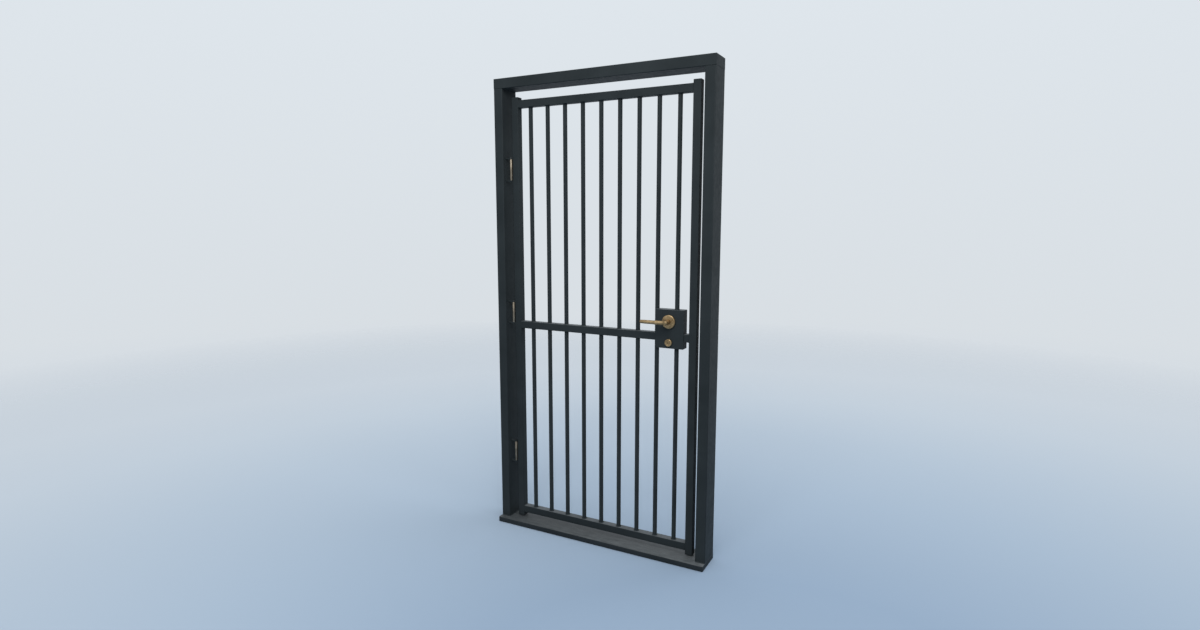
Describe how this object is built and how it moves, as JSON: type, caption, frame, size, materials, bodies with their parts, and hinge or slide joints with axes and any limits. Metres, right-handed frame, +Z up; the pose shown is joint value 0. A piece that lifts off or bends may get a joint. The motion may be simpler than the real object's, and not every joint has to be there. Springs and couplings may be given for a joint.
{
  "type": "security grille gate",
  "caption": "Barred steel security gate in a tubular door frame, hinged at one side, with a lock case, a sprung lever handle outside and a knob inside.",
  "frame": {"origin": "under the sill, midway between the jambs and midway through their depth", "axes": "+Z up, +X across the doorway from the hinge side to the lock side, +Y inwards through it; the outside, towards which the leaf opens, is -Y"},
  "size_m": [1.048, 0.146, 2.1],
  "materials": {
    "frame_paint": "satin anthracite powder coat",
    "leaf_paint": "satin anthracite powder coat",
    "brass": "satin brass",
    "pin_steel": "drawn"
  },
  "bodies": {
    "frame": {"jamb_hinge_side": "frame_paint", "jamb_lock_side": "frame_paint", "head": "frame_paint", "head_caps": "frame_paint", "sill": "frame_paint", "sill_caps": "frame_paint", "hinge_lugs_bottom": "frame_paint", "hinge_lugs_middle": "frame_paint", "hinge_lugs_top": "frame_paint", "hinge_pin_bottom": "pin_steel", "hinge_pin_middle": "pin_steel", "hinge_pin_top": "pin_steel"},
    "leaf": {"stile_hinge_side": "leaf_paint", "stile_lock_side": "leaf_paint", "stile_caps": "leaf_paint", "rail_top": "leaf_paint", "rail_middle": "leaf_paint", "rail_bottom": "leaf_paint", "bar_1": "leaf_paint", "bar_2": "leaf_paint", "bar_3": "leaf_paint", "bar_4": "leaf_paint", "bar_5": "leaf_paint", "bar_6": "leaf_paint", "bar_7": "leaf_paint", "bar_8": "leaf_paint", "bar_9": "leaf_paint", "hinge_barrel_bottom": "brass", "hinge_barrel_middle": "brass", "hinge_barrel_top": "brass", "lock_case": "leaf_paint", "lock_cover": "leaf_paint", "rose_outside": "brass", "rose_inside": "brass", "escutcheon_outside": "brass", "escutcheon_inside": "brass"},
    "lever": {"lever_outside": "brass", "knob_inside": "brass", "spindle": "pin_steel"}
  },
  "joints": [
    {"name": "leaf_swing", "type": "hinge", "parent": "frame", "child": "leaf", "pos_m": [-0.453, -0.029, 1.037], "axis": [0, 0, -1], "range_deg": [0, 110]},
    {"name": "lever_turn", "type": "hinge", "parent": "leaf", "child": "lever", "pos_m": [0.3346, -0.0085, 1.045], "axis": [0, -1, 0], "range_deg": [0, 45], "stiffness_Nm_per_rad": 1.2, "springref_deg": -20.05}
  ]
}
